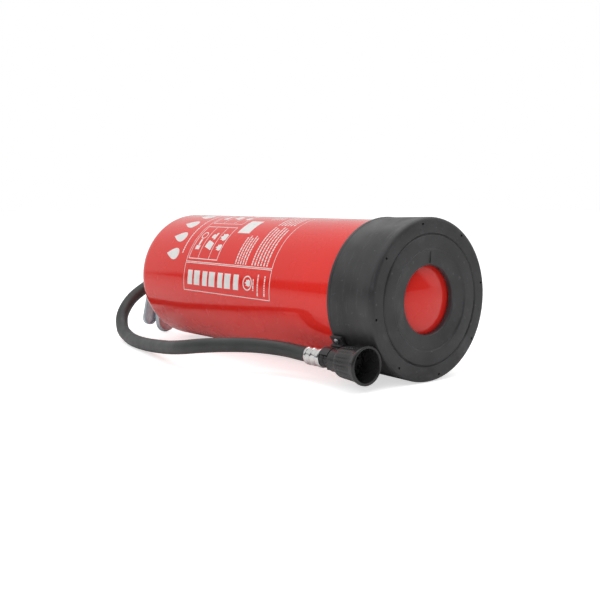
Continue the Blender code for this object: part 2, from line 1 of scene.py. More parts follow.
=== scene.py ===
"""Finished pieces of a nine litre water fire extinguisher lying on its side."""

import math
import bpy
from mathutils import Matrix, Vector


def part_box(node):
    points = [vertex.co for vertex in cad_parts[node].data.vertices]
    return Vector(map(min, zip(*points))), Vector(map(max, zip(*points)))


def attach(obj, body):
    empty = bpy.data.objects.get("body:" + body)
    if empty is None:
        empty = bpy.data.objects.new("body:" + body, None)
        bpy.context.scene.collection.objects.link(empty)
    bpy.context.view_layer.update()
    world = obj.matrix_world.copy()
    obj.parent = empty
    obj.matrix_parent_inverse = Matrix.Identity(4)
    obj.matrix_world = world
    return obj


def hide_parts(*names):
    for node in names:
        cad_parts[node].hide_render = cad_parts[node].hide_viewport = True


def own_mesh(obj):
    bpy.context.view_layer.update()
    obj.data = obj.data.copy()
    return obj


bl_info = {
    "name": "Fire extinguisher",
    "version": (1, 0, 0),
    "blender": (4, 5, 0),
    "location": "3D View > Sidebar > Extinguisher",
    "description": "Makes the finished pieces of a fire extinguisher round its fixed frame",
    "category": "Object",
}

import bmesh
import bpy
from bpy.props import FloatProperty, FloatVectorProperty, IntProperty, PointerProperty
from mathutils import Matrix, Vector

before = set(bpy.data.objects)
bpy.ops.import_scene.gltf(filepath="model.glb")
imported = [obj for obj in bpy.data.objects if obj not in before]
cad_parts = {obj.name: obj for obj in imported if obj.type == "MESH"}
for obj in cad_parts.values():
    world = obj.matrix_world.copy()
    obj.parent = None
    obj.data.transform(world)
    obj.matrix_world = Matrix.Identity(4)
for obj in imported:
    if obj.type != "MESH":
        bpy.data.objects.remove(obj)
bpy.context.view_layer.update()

MM = 0.001
BODY = "extinguisher"

# the cylinder's axis, read from its foot ring
FOOT_LOW, FOOT_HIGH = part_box("foot_ring")
FOOT_X = FOOT_HIGH.x
AXIS_Y = (FOOT_LOW.y + FOOT_HIGH.y) / 2.0
AXIS_Z = (FOOT_LOW.z + FOOT_HIGH.z) / 2.0
LEVER_DOWN = 78.0       # levers point this far below the horizontal, degrees

# sizes of the shell and foot, millimetres along and round the cylinder
SHELL_R = 90.5
WALL = 2.0
SHOULDER_H = 480.0
CROWN = 45.0
BASE_RIM_H = 48.0
BASE_DEEP = 41.5
NECK_HOLE_R = 21.3
FOOT_HOLE_R = 40.0
BOSS_R = 58.0
GROOVE_R = 76.0
DRAIN_R = 88.5
DRAIN_COUNT = 8
DRAIN_START = 23.0
MARK_R = 87.6
MARK_START = 44.0

# valve and gauge
OUTLET_H = 556.0
OUTLET_AT = 51.4
GAUGE_H = 547.0
GAUGE_DIAL_TOP = 27.6

# nozzle
MOUTH_BACK = 2.0
MOUTH_R = 22.2
BARREL_LONG = 52.0
GRIP_LONG = 17.0
FERRULE_LONG = 27.0
NOZZLE_Y = -98.0
NOZZLE_Z = 30.0

# hose centre line: back from the foot face, y from the axis, height
HOSE_R = 9.0
HOSE_ROUTE = (
    (556.0, -25.6, 82.2),
    (556.0, -34.0, 78.0),
    (556.0, -42.9, 73.5),
    (554.3, -71.0, 56.6),
    (540.0, -96.0, 35.0),
    (514.0, -111.0, 17.5),
    (480.0, -121.0, 10.5),
    (441.0, -132.0, 9.3),
    (405.0, -140.0, 10.5),
    (370.0, -147.5, 13.0),
    (334.0, -155.0, 16.5),
    (299.0, -162.5, 20.5),
    (264.0, -166.0, 25.5),
    (230.0, -161.0, 31.0),
    (201.0, -145.0, 34.0),
    (170.0, -121.5, 34.5),
    (138.0, -103.4, 32.3),
    (107.0, -98.1, 30.1),
    (101.0, -98.0, 30.0),
    (75.2, -98.0, 30.0),
)

# printed label: along the cylinder in millimetres, round it in degrees above
# the side that the hose lies on
LABEL_FOOT = 184.0
LABEL_HEAD = 377.0
LABEL_SPLIT = 18.5
LABEL_MID = 60.0
LABEL_LOW = -6.5
INK_THICK = 0.07
INK_DEEP = -0.3         # the ink's lower side, hidden in the paint


# ---- frames ------------------------------------------------------------------
def lying_frame():
    """Matrix from the standing frame to the row."""
    a = math.radians(LEVER_DOWN)
    x_dir = Vector((0.0, -math.cos(a), -math.sin(a)))
    z_dir = Vector((-1.0, 0.0, 0.0))
    y_dir = z_dir.cross(x_dir)
    m = Matrix((x_dir, y_dir, z_dir)).transposed().to_4x4()
    m.translation = Vector((FOOT_X, AXIS_Y, AXIS_Z))
    return m


UP = lying_frame()


def spoke(angle, h):
    """Frame at height h whose z points outwards from the cylinder's axis."""
    turn = Matrix.Rotation(math.radians(angle), 4, "Z")
    tip = Matrix.Rotation(math.radians(90.0), 4, "Y")
    return UP @ Matrix.Translation((0.0, 0.0, h * MM)) @ turn @ tip


def nozzle_frame():
    """Frame at the nozzle's mouth, z running back along the hose."""
    x = FOOT_X - MOUTH_BACK * MM
    place = Matrix.Translation((x, AXIS_Y + NOZZLE_Y * MM, NOZZLE_Z * MM))
    return place @ Matrix.Rotation(math.radians(-90.0), 4, "Y")


NOZZLE = nozzle_frame()


# ---- finishes ----------------------------------------------------------------
def tone(colour, factor):
    return tuple(min(1.0, max(0.0, c * factor)) for c in colour[:3]) + (1.0,)


class Finish:
    """A procedural finish: mottled colour, uneven gloss and a fine bump."""

    def __init__(self, name, colour, metallic=0.0):
        self.mat = bpy.data.materials.new(name)
        self.mat.use_nodes = True
        self.nodes = self.mat.node_tree.nodes
        self.links = self.mat.node_tree.links
        self.shader = self.nodes["Principled BSDF"]
        self.shader.inputs["Metallic"].default_value = metallic
        self.colour = colour
        place = self.nodes.new("ShaderNodeTexCoord")
        self.place = place.outputs["Object"]
        self.last_normal = None
        self.last_colour = None

    def noise(self, scale, detail=3.0, stretch=(1.0, 1.0, 1.0), rough=0.5):
        mapping = self.nodes.new("ShaderNodeMapping")
        mapping.inputs["Scale"].default_value = stretch
        self.links.new(self.place, mapping.inputs["Vector"])
        tex = self.nodes.new("ShaderNodeTexNoise")
        tex.inputs["Scale"].default_value = scale
        tex.inputs["Detail"].default_value = detail
        tex.inputs["Roughness"].default_value = rough
        self.links.new(mapping.outputs["Vector"], tex.inputs["Vector"])
        return tex.outputs["Fac"]

    def mottle(self, scale, low, high, stretch=(1.0, 1.0, 1.0)):
        """Base colour that drifts between two tones."""
        ramp = self.nodes.new("ShaderNodeValToRGB")
        ramp.color_ramp.elements[0].position = 0.35
        ramp.color_ramp.elements[1].position = 0.65
        ramp.color_ramp.elements[0].color = tone(self.colour, low)
        ramp.color_ramp.elements[1].color = tone(self.colour, high)
        self.links.new(self.noise(scale, 4.0, stretch), ramp.inputs["Fac"])
        self.last_colour = ramp.outputs["Color"]
        self.links.new(self.last_colour, self.shader.inputs["Base Color"])
        return self

    def marks(self, scale, colour, start, end, stretch=(1.0, 1.0, 1.0)):
        """Sparse marks of another colour, such as scuffs, dust or worn spots."""
        ramp = self.nodes.new("ShaderNodeMapRange")
        ramp.inputs["From Min"].default_value = start
        ramp.inputs["From Max"].default_value = end
        self.links.new(self.noise(scale, 6.0, stretch, 0.65), ramp.inputs["Value"])
        mix = self.nodes.new("ShaderNodeMix")
        mix.data_type = "RGBA"
        self.links.new(ramp.outputs["Result"], mix.inputs["Factor"])
        self.links.new(self.last_colour, mix.inputs[6])
        mix.inputs[7].default_value = tuple(colour[:3]) + (1.0,)
        self.last_colour = mix.outputs[2]
        self.links.new(self.last_colour, self.shader.inputs["Base Color"])
        return self

    def gloss(self, scale, low, high, stretch=(1.0, 1.0, 1.0)):
        """Roughness that drifts between two values."""
        span = self.nodes.new("ShaderNodeMapRange")
        span.inputs["From Min"].default_value = 0.3
        span.inputs["From Max"].default_value = 0.7
        span.inputs["To Min"].default_value = low
        span.inputs["To Max"].default_value = high
        self.links.new(self.noise(scale, 4.0, stretch), span.inputs["Value"])
        self.links.new(span.outputs["Result"], self.shader.inputs["Roughness"])
        return self

    def bump(self, scale, height, strength=0.5, stretch=(1.0, 1.0, 1.0)):
        """Fine relief, height in millimetres."""
        node = self.nodes.new("ShaderNodeBump")
        node.inputs["Strength"].default_value = strength
        node.inputs["Distance"].default_value = height * MM
        self.links.new(self.noise(scale, 3.0, stretch), node.inputs["Height"])
        if self.last_normal is not None:
            self.links.new(self.last_normal, node.inputs["Normal"])
        self.last_normal = node.outputs["Normal"]
        self.links.new(self.last_normal, self.shader.inputs["Normal"])
        return self

    def coat(self, weight, rough):
        self.shader.inputs["Coat Weight"].default_value = weight
        self.shader.inputs["Coat Roughness"].default_value = rough
        return self


def red_paint(look):
    paint = Finish("red_paint", look.paint)
    paint.mottle(9.0, 0.97, 1.03).marks(260.0, tone(look.paint, 0.7), 0.72, 0.8)
    paint.gloss(40.0, 0.2, 0.3).bump(700.0, 0.01, 0.1)
    paint.shader.inputs["Specular IOR Level"].default_value = 0.12
    return paint.coat(0.75, 0.03).mat


def ring_plastic(look):
    plastic = Finish("ring_plastic", look.plastic)
    plastic.mottle(22.0, 0.74, 1.26)
    plastic.marks(38.0, tone(look.plastic, 2.2), 0.55, 0.8, (7.0, 1.0, 1.0))
    plastic.marks(150.0, tone(look.plastic, 3.4), 0.62, 0.76)
    plastic.gloss(30.0, 0.3, 0.54)
    return plastic.bump(1400.0, 0.05, 0.35).bump(90.0, 0.12, 0.2).mat


def nozzle_plastic(look):
    plastic = Finish("nozzle_plastic", look.nozzle)
    plastic.mottle(40.0, 0.85, 1.2).marks(210.0, tone(look.nozzle, 3.0), 0.7, 0.82)
    return plastic.gloss(60.0, 0.2, 0.34).bump(1500.0, 0.02, 0.2).mat


def hose_rubber(look):
    rubber = Finish("hose_rubber", look.rubber)
    rubber.mottle(30.0, 0.85, 1.15).marks(120.0, tone(look.rubber, 1.9), 0.66, 0.84)
    rubber.gloss(45.0, 0.4, 0.56)
    return rubber.bump(1600.0, 0.06, 0.4).bump(160.0, 0.12, 0.2).mat


def seal_rubber(look):
    rubber = Finish("seal_rubber", tone(look.rubber, 0.6))
    return rubber.mottle(80.0, 0.85, 1.15).gloss(90.0, 0.6, 0.75).bump(1800.0, 0.05, 0.4).mat


def plated_zinc(look):
    zinc = Finish("plated_zinc", look.zinc, 1.0)
    zinc.mottle(70.0, 0.85, 1.1).marks(190.0, tone(look.zinc, 0.7), 0.66, 0.8)
    return zinc.gloss(110.0, 0.34, 0.5).bump(900.0, 0.03, 0.3, (1.0, 1.0, 0.2)).mat


def bright_nickel(look):
    nickel = Finish("bright_nickel", look.nickel, 1.0)
    nickel.mottle(60.0, 0.93, 1.05).marks(320.0, tone(look.nickel, 0.6), 0.7, 0.85)
    return nickel.gloss(120.0, 0.14, 0.26).bump(1200.0, 0.02, 0.3).mat


def machined_brass(look):
    brass = Finish("machined_brass", look.brass, 1.0)
    brass.mottle(55.0, 0.85, 1.08).marks(240.0, tone(look.brass, 0.5), 0.68, 0.84)
    return brass.gloss(140.0, 0.2, 0.34).bump(1000.0, 0.02, 0.3).mat


def moulded_white(look):
    white = Finish("moulded_white", look.white)
    return white.mottle(50.0, 0.93, 1.03).gloss(70.0, 0.4, 0.55).bump(900.0, 0.03, 0.3).mat


def printed_ink(look):
    ink = Finish("printed_ink", look.ink)
    ink.mottle(120.0, 0.95, 1.02).marks(900.0, tone(look.paint, 1.0), 0.74, 0.82)
    return ink.gloss(90.0, 0.25, 0.4).bump(1500.0, 0.01, 0.2).coat(0.6, 0.06).mat


def dial_green(look):
    ink = Finish("dial_green", (0.03, 0.35, 0.08))
    return ink.mottle(200.0, 0.92, 1.05).gloss(200.0, 0.4, 0.5).bump(1800.0, 0.01, 0.2).mat


def dial_red(look):
    ink = Finish("dial_red", (0.6, 0.03, 0.03))
    return ink.mottle(200.0, 0.92, 1.05).gloss(200.0, 0.4, 0.5).bump(1800.0, 0.01, 0.2).mat


def dial_black(look):
    ink = Finish("dial_black", (0.02, 0.02, 0.02))
    return ink.mottle(300.0, 0.9, 1.1).gloss(200.0, 0.35, 0.45).bump(1800.0, 0.01, 0.2).mat


def clear_lens(look):
    lens = Finish("clear_lens", (0.97, 0.98, 0.98))
    lens.mottle(60.0, 0.98, 1.0).gloss(90.0, 0.02, 0.05).bump(300.0, 0.01, 0.1)
    lens.shader.inputs["Transmission Weight"].default_value = 1.0
    lens.shader.inputs["IOR"].default_value = 1.49
    return lens.mat


FINISHES = {
    "paint": red_paint,
    "ring": ring_plastic,
    "nozzle": nozzle_plastic,
    "hose": hose_rubber,
    "seal": seal_rubber,
    "zinc": plated_zinc,
    "nickel": bright_nickel,
    "brass": machined_brass,
    "white": moulded_white,
    "ink": printed_ink,
    "dial_green": dial_green,
    "dial_red": dial_red,
    "dial_black": dial_black,
    "lens": clear_lens,
}
MADE = {}


def finish(key):
    """The material of that name, made once."""
    if key not in MADE:
        MADE[key] = FINISHES[key](bpy.context.scene.extinguisher_look)
    return MADE[key]


# ---- makers ------------------------------------------------------------------
def rounded(profile, closed):
    """Replace each corner (r, h, fillet[, flute]) by a short curve."""
    out = []
    count = len(profile)
    for i, item in enumerate(profile):
        fillet = item[2] if len(item) > 2 else 0.0
        flute = item[3] if len(item) > 3 else 0.0
        here = Vector(item[:2])
        inside = closed or 0 < i < count - 1
        if fillet <= 0.0 or not inside:
            out.append((here.x, here.y, flute))
            continue
        before = Vector(profile[i - 1][:2]) - here
        after = Vector(profile[(i + 1) % count][:2]) - here
        reach = min(fillet, before.length * 0.49, after.length * 0.49)
        start = here + before.normalized() * reach
        end = here + after.normalized() * reach
        for k in range(5):
            t = k / 4.0
            p = start * (1.0 - t) ** 2 + here * 2.0 * t * (1.0 - t) + end * t * t
            out.append((p.x, p.y, flute))
    return out


def plain_wave(angle):
    return 0.0


def grooves(count, sharp):
    """Narrow grooves round a turned piece, 0 between them and 1 in them."""
    def wave(angle):
        return (0.5 + 0.5 * math.cos(angle * count)) ** sharp
    return wave


def hexagon(angle):
    """How far a hexagon's side lies inside the circle through its corners."""
    sixth = math.tau / 6.0
    part = (angle % sixth) - sixth / 2.0
    return 1.0 - math.cos(sixth / 2.0) / math.cos(part)


def mesh_object(name, bm, place, key, sharp=35.0):
    bmesh.ops.recalc_face_normals(bm, faces=bm.faces)
    bmesh.ops.transform(bm, matrix=place, verts=bm.verts)
    mesh = bpy.data.meshes.new(name)
    bm.to_mesh(mesh)
    bm.free()
    mesh.shade_smooth()
    mesh.set_sharp_from_angle(angle=math.radians(sharp))
    obj = bpy.data.objects.new(name, mesh)
    bpy.context.scene.collection.objects.link(obj)
    mesh.materials.append(finish(key))
    return obj


def turned(name, profile, place, key, steps=96, closed=True, wave=plain_wave, sharp=35.0):
    """Solid of revolution with optional flutes; lengths in millimetres."""
    points = rounded(profile, closed)
    bm = bmesh.new()
    rings = []
    for r, h, flute in points:
        if r < 0.0001:
            rings.append([bm.verts.new((0.0, 0.0, h * MM))])
            continue
        ring = []
        for i in range(steps):
            angle = math.tau * i / steps
            reach = (r - flute * wave(angle)) * MM
            ring.append(bm.verts.new((reach * math.cos(angle), reach * math.sin(angle), h * MM)))
        rings.append(ring)
    pairs = list(zip(rings, rings[1:]))
    if closed:
        pairs.append((rings[-1], rings[0]))
    for a, b in pairs:
        for i in range(steps):
            j = (i + 1) % steps
            if len(a) == 1 and len(b) == 1:
                break
            if len(a) == 1:
                bm.faces.new((a[0], b[j], b[i]))
            elif len(b) == 1:
                bm.faces.new((a[i], a[j], b[0]))
            else:
                bm.faces.new((a[i], a[j], b[j], b[i]))
    return mesh_object(name, bm, place, key, sharp)


def add_prism(bm, outline, low, high):
    """Closed prism over an outline in x and y; lengths in millimetres."""
    bottom = [bm.verts.new((x * MM, y * MM, low * MM)) for x, y in outline]
    top = [bm.verts.new((x * MM, y * MM, high * MM)) for x, y in outline]
    bm.faces.new(list(reversed(bottom)))
    bm.faces.new(top)
    count = len(outline)
    for i in range(count):
        j = (i + 1) % count
        bm.faces.new((bottom[i], bottom[j], top[j], top[i]))


def circle(radius, count, x=0.0, y=0.0, squash=1.0):
    step = math.tau / count
    points = []
    for i in range(count):
        points.append((x + radius * math.cos(step * i), y + squash * radius * math.sin(step * i)))
    return points


def arc(radius, base, start, end, count, squash):
    """Quarter of an ellipse in the (radius, height) plane."""
    points = []
    for i in range(count + 1):
        a = math.radians(start + (end - start) * i / count)
        points.append((radius * math.cos(a), base + radius * squash * math.sin(a)))
    return points


def carve(obj, cutters):
    """Cut the cutters out of obj for good, and remove them."""
    for cutter in cutters:
        mod = obj.modifiers.new("Carve", "BOOLEAN")
        mod.operation = "DIFFERENCE"
        mod.solver = "EXACT"
        mod.object = cutter
    graph = bpy.context.evaluated_depsgraph_get()
    mesh = bpy.data.meshes.new_from_object(obj.evaluated_get(graph))
    obj.modifiers.clear()
    mesh.set_sharp_from_angle(angle=math.radians(35.0))
    obj.data = mesh
    for cutter in cutters:
        bpy.data.objects.remove(cutter, do_unlink=True)


def belong(obj, slot, *nodes, body=BODY):
    """The piece rides on its body, and stands for those CAD nodes."""
    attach(obj, body)
    if nodes:
        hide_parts(*nodes)
    return obj


def dress(node, key, edge=0.0, sharp=35.0):
    """A CAD node that keeps its shape gets its finish and softened edges."""
    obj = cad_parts[node]
    mesh = obj.data
    mesh.materials.clear()
    mesh.materials.append(finish(key))
    for name in ("custom_normal", "sharp_edge", "sharp_face"):
        if name in mesh.attributes:
            mesh.attributes.remove(mesh.attributes[name])
    mesh.shade_smooth()
    weld = obj.modifiers.new("Join corners", "WELD")
    weld.merge_threshold = 0.00001
    if edge > 0.0:
        bevel = obj.modifiers.new("Soft edges", "BEVEL")
        bevel.width = edge * MM
        bevel.segments = 2
        bevel.limit_method = "ANGLE"
        bevel.angle_limit = math.radians(sharp)
        bevel.harden_normals = False
    even = obj.modifiers.new("Even shading", "WEIGHTED_NORMAL")
    even.keep_sharp = True
    even.weight = 60
    return obj


# ---- settings ----------------------------------------------------------------
def colour_property(name, text, value):
    return FloatVectorProperty(
        name=name, description=text, default=value, subtype="COLOR", size=3, min=0.0, max=1.0
    )


class ExtinguisherLook(bpy.types.PropertyGroup):
    """Colours of the extinguisher's finishes."""

    paint: colour_property("Paint", "Gloss paint of the cylinder", (0.8, 0.022, 0.014))
    plastic: colour_property("Ring", "Moulded plastic of the foot ring", (0.033, 0.033, 0.035))
    nozzle: colour_property("Nozzle", "Glossy plastic of the nozzle", (0.02, 0.02, 0.021))
    rubber: colour_property("Rubber", "Rubber cover of the hose", (0.042, 0.046, 0.045))
    zinc: colour_property("Zinc", "Plated steel of levers and pins", (0.62, 0.68, 0.72))
    nickel: colour_property("Nickel", "Bright plating of fittings", (0.78, 0.78, 0.77))
    brass: colour_property("Brass", "Machined brass", (0.72, 0.5, 0.22))
    white: colour_property("White", "Moulded white plastic and the dial", (0.8, 0.8, 0.77))
    ink: colour_property("Ink", "White ink of the label", (0.86, 0.84, 0.82))


class ExtinguisherStage(bpy.types.PropertyGroup):
    """Camera and light."""

    azimuth: FloatProperty(
        name="Azimuth", description="Camera's turn round the object",
        default=math.radians(50.12), subtype="ANGLE", unit="ROTATION",
    )
    elevation: FloatProperty(
        name="Elevation", description="Camera's height above the horizon",
        default=math.radians(6.27), subtype="ANGLE", unit="ROTATION",
    )
    lens: FloatProperty(
        name="Lens", description="Focal length on a 36 mm sensor",
        default=55.76, unit="CAMERA", min=10.0, max=200.0,
    )
    place: FloatVectorProperty(
        name="Camera place", description="From the middle of the foot ring's face",
        default=(0.7123, -0.7901, 0.1162), subtype="TRANSLATION", unit="LENGTH", size=3,
    )
    overhead: FloatProperty(
        name="Overhead light", description="Power of the large light above",
        default=9.0, unit="POWER", min=0.0,
    )
    fill: FloatProperty(
        name="Front light", description="Power of the light beside the camera",
        default=14.0, unit="POWER", min=0.0,
    )
    floor: FloatProperty(
        name="Floor", description="Side of the square floor", default=24.0, unit="LENGTH", min=2.0
    )
    glow: FloatProperty(
        name="Glow", description="Light that the white floor gives by itself", default=0.62, min=0.0
    )
    steps: IntProperty(
        name="Steps", description="Sides of the large turned pieces", default=192, min=48, max=384
    )


# ---- stage -------------------------------------------------------------------
def add_light(name, place, aim, size, power, shiny=True):
    data = bpy.data.lights.new(name, "AREA")
    data.shape = "RECTANGLE"
    data.size = size[0]
    data.size_y = size[1]
    data.energy = power
    obj = bpy.data.objects.new(name, data)
    bpy.context.scene.collection.objects.link(obj)
    obj.location = place
    obj.rotation_euler = (Vector(aim) - Vector(place)).to_track_quat("-Z", "Y").to_euler()
    obj.visible_glossy = shiny
    obj.visible_camera = False
    return obj


def studio_world():
    """White studio: bright above and behind, darker in front."""
    world = bpy.data.worlds.new("studio")
    bpy.context.scene.world = world
    world.use_nodes = True
    nodes = world.node_tree.nodes
    links = world.node_tree.links
    back = nodes["Background"]
    coord = nodes.new("ShaderNodeTexCoord")
    dot = nodes.new("ShaderNodeVectorMath")
    dot.operation = "DOT_PRODUCT"
    dot.inputs[1].default_value = Vector((-0.42, 0.5, 0.76)).normalized()
    links.new(coord.outputs["Generated"], dot.inputs[0])
    ramp = nodes.new("ShaderNodeValToRGB")
    low, high = ramp.color_ramp.elements
    low.position = 0.555
    low.color = (0.1, 0.1, 0.105, 1.0)
    high.position = 0.58
    high.color = (0.75, 0.75, 0.75, 1.0)
    shift = nodes.new("ShaderNodeMapRange")
    shift.inputs["From Min"].default_value = -1.0
    shift.inputs["From Max"].default_value = 1.0
    links.new(dot.outputs["Value"], shift.inputs["Value"])
    links.new(shift.outputs["Result"], ramp.inputs["Fac"])
    paths = nodes.new("ShaderNodeLightPath")
    mix = nodes.new("ShaderNodeMix")
    mix.data_type = "RGBA"
    links.new(paths.outputs["Is Camera Ray"], mix.inputs["Factor"])
    links.new(ramp.outputs["Color"], mix.inputs[6])
    mix.inputs[7].default_value = (1.0, 1.0, 1.0, 1.0)
    links.new(mix.outputs[2], back.inputs["Color"])
    back.inputs["Strength"].default_value = 1.0


def glow_for_camera(card, strength):
    """The floor looks paper white, but lights the object only by what falls on it."""
    card.shader.inputs["Emission Color"].default_value = (1.0, 1.0, 1.0, 1.0)
    paths = card.nodes.new("ShaderNodeLightPath")
    scale = card.nodes.new("ShaderNodeMath")
    scale.operation = "MULTIPLY"
    scale.inputs[1].default_value = strength
    card.links.new(paths.outputs["Is Camera Ray"], scale.inputs[0])
    card.links.new(scale.outputs["Value"], card.shader.inputs["Emission Strength"])


class EXTINGUISHER_OT_stage(bpy.types.Operator):
    """Make the floor, the lights, the world and the camera"""

    bl_idname = "extinguisher.stage"
    bl_label = "Stage"

    def execute(self, context):
        stage = context.scene.extinguisher_stage
        bm = bmesh.new()
        bmesh.ops.create_grid(bm, x_segments=8, y_segments=8, size=stage.floor / 2.0)
        mesh = bpy.data.meshes.new("floor")
        bm.to_mesh(mesh)
        bm.free()
        floor = bpy.data.objects.new("floor", mesh)
        context.scene.collection.objects.link(floor)
        card = Finish("white_card", (0.88, 0.88, 0.88))
        card.mottle(3.0, 0.99, 1.01).gloss(5.0, 0.8, 0.9).bump(60.0, 0.02, 0.05)
        glow_for_camera(card, stage.glow)
        mesh.materials.append(card.mat)

        add_light("overhead", (0.0, 0.25, 1.5), (0.0, 0.0, 0.0), (2.2, 1.6), stage.overhead)
        add_light("front", (0.9, -1.6, 0.9), (0.0, 0.0, 0.05), (1.6, 1.2), stage.fill, False)
        studio_world()

        camera = bpy.data.cameras.new("camera")
        camera.lens = stage.lens
        camera.sensor_width = 36.0
        camera.clip_start = 0.01
        obj = bpy.data.objects.new("camera", camera)
        context.scene.collection.objects.link(obj)
        obj.location = Vector((FOOT_X, AXIS_Y, AXIS_Z)) + Vector(stage.place)
        obj.rotation_euler = (math.pi / 2.0 - stage.elevation, 0.0, stage.azimuth)
        context.scene.camera = obj
        context.scene.view_settings.view_transform = "Standard"
        return {"FINISHED"}


# ---- cylinder ----------------------------------------------------------------
class EXTINGUISHER_OT_shell(bpy.types.Operator):
    """Make the painted cylinder, its base and the neck collar"""

    bl_idname = "extinguisher.shell"
    bl_label = "Cylinder"

    def execute(self, context):
        steps = context.scene.extinguisher_stage.steps
        inner_r = SHELL_R - WALL
        top = math.degrees(math.acos(NECK_HOLE_R / SHELL_R))
        inner_top = math.degrees(math.acos(NECK_HOLE_R / inner_r))
        outer = arc(SHELL_R, SHOULDER_H, top, 0.0, 28, CROWN / SHELL_R)
        inner = arc(inner_r, SHOULDER_H, 0.0, inner_top, 14, (CROWN - WALL) / inner_r)
        low = BASE_RIM_H + 0.3
        wall = [(SHELL_R, h) for h in (400.0, 320.0, 240.0, 160.0, 80.0, low)]
        profile = outer + wall + [(inner_r, low)] + inner
        body = turned("shell_paint", profile, UP, "paint", steps)
        belong(body, "red_paint", "shell_body")

        outer = arc(SHELL_R, BASE_RIM_H, 0.0, -90.0, 24, BASE_DEEP / SHELL_R)
        inner = arc(inner_r, BASE_RIM_H, -90.0, 0.0, 12, (BASE_DEEP - WALL) / inner_r)
        outer[-1] = (0.0, BASE_RIM_H - BASE_DEEP)
        inner[0] = (0.0, BASE_RIM_H - BASE_DEEP + WALL)
        base = turned("base_paint", inner + outer, UP, "paint", steps, closed=False)
        belong(base, "red_paint", "shell_base")

        profile = [
            (15.3, 532.0, 0.4), (25.4, 532.0, 1.2), (26.0, 528.0, 1.0), (26.0, 524.1, 0.4),
            (20.9, 524.1, 0.3), (20.9, 514.0, 0.4), (15.3, 514.0, 0.4),
        ]
        collar = turned("neck_collar_paint", profile, UP, "paint", 96)
        belong(collar, "red_paint", "neck_collar")
        return {"FINISHED"}


# ---- label -------------------------------------------------------------------
def round_mm(degrees):
    return math.radians(degrees) * SHELL_R


class Print:
    """Thin flat ink shapes, drawn along and round the cylinder, then bent on it."""

    def __init__(self):
        self.bm = bmesh.new()

    def shape(self, outline):
        add_prism(self.bm, outline, INK_DEEP, INK_THICK)

    def bar(self, h0, h1, a0, a1):
        v0, v1 = round_mm(a0), round_mm(a1)
        self.shape([(h0, v0), (h1, v0), (h1, v1), (h0, v1)])

    def lines(self, h0, h1, a0, a1, wide):
        """Outline of a box, lines this wide."""
        turn = math.degrees(wide / SHELL_R)
        self.bar(h0, h1, a0, a0 + turn)
        self.bar(h0, h1, a1 - turn, a1)
        self.bar(h0, h0 + wide, a0 + turn * 1.02, a1 - turn * 1.02)
        self.bar(h1 - wide, h1, a0 + turn * 1.02, a1 - turn * 1.02)

    def dashes(self, h, wide, a0, a1, seed):
        """One line of small dashes of uneven length, running round the cylinder."""
        a = a0
        k = seed
        while a < a1:
            k = (k * 7 + 3) % 11
            long = 0.7 + 0.22 * k
            self.bar(h, h + wide, a, min(a + long, a1))
            a += long + 0.45

    def ring(self, h, a, radius, wide, count=28):
        bm = self.bm
        v = round_mm(a)
        loops = []
        inner = radius - wide
        section = ((radius, INK_THICK), (inner, INK_THICK), (inner, INK_DEEP), (radius, INK_DEEP))
        for r, z in section:
            loops.append([bm.verts.new((x * MM, y * MM, z * MM)) for x, y in circle(r, count, h, v)])
        for k in range(4):
            a_loop, b_loop = loops[k], loops[(k + 1) % 4]
            for i in range(count):
                j = (i + 1) % count
                bm.faces.new((a_loop[i], a_loop[j], b_loop[j], b_loop[i]))

    def drop(self, h, a, size):
        """Water drop, its tip towards the head."""
        v = round_mm(a)
        points = []
        for i in range(24):
            t = math.tau * i / 24.0
            reach = size * 0.5
            side = reach * 0.78 * math.sin(t) * math.sin(t / 2.0) ** 1.3
            points.append((h + reach * math.cos(t), v + side))
        self.shape(points)

    def flame(self, h, a, size):
        v = round_mm(a)
        points = [
            (-0.5, -0.28), (-0.5, 0.28), (-0.2, 0.44), (0.12, 0.34), (0.3, 0.42), (0.22, 0.16),
            (0.55, 0.02), (0.2, -0.12), (0.34, -0.3), (0.05, -0.3), (-0.2, -0.42),
        ]
        self.shape([(h + size * x, v + size * y) for x, y in points])

    def bend(self, name, key):
        """Cut the flat shapes finely and wrap them on the cylinder."""
        bm = self.bm
        low = min(v.co.y for v in bm.verts)
        high = max(v.co.y for v in bm.verts)
        gap = 3.0 * MM
        y = low + gap
        while y < high:
            everything = bm.verts[:] + bm.edges[:] + bm.faces[:]
            bmesh.ops.bisect_plane(bm, geom=everything, plane_co=(0.0, y, 0.0), plane_no=(0.0, 1.0, 0.0))
            y += gap
        for vert in bm.verts:
            angle = vert.co.y / (SHELL_R * MM)
            reach = SHELL_R * MM + vert.co.z
            x = FOOT_X - vert.co.x
            vert.co = (x, AXIS_Y - reach * math.cos(angle), AXIS_Z + reach * math.sin(angle))
        return mesh_object(name, bm, Matrix.Identity(4), key, 50.0)


def headline(ink):
    """Row of plain blocks where a name would stand."""
    count = 7
    first = 249.0
    pitch = 17.8
    for i in range(count):
        h = first + pitch * i
        wide = 13.6 if i % 2 else 11.2
        ink.bar(h, h + wide, -1.0, 11.6)


def panel_shapes(ink, low_turn, high_turn):
    """Three small pictures of use: pull, aim, squeeze, in plain shapes."""
    middle = (low_turn + high_turn) / 2.0
    ink.ring(362.0, middle + 6.0, 6.2, 1.5)
    ink.bar(357.0, 366.5, middle - 9.0, middle - 5.0)
    ink.bar(359.6, 363.6, middle - 4.6, middle + 1.4)
    nozzle = ((330.0, -9.0), (346.0, -6.0), (343.0, 1.0), (329.0, -2.0))
    ink.shape([(h, round_mm(middle + turn)) for h, turn in nozzle])
    ink.ring(340.0, middle + 5.5, 3.6, 3.0, 20)
    ink.bar(333.0, 337.0, middle + 2.0, middle + 9.6)
    ink.flame(316.0, middle + 5.0, 15.0)
    ink.flame(313.5, middle - 6.0, 12.0)


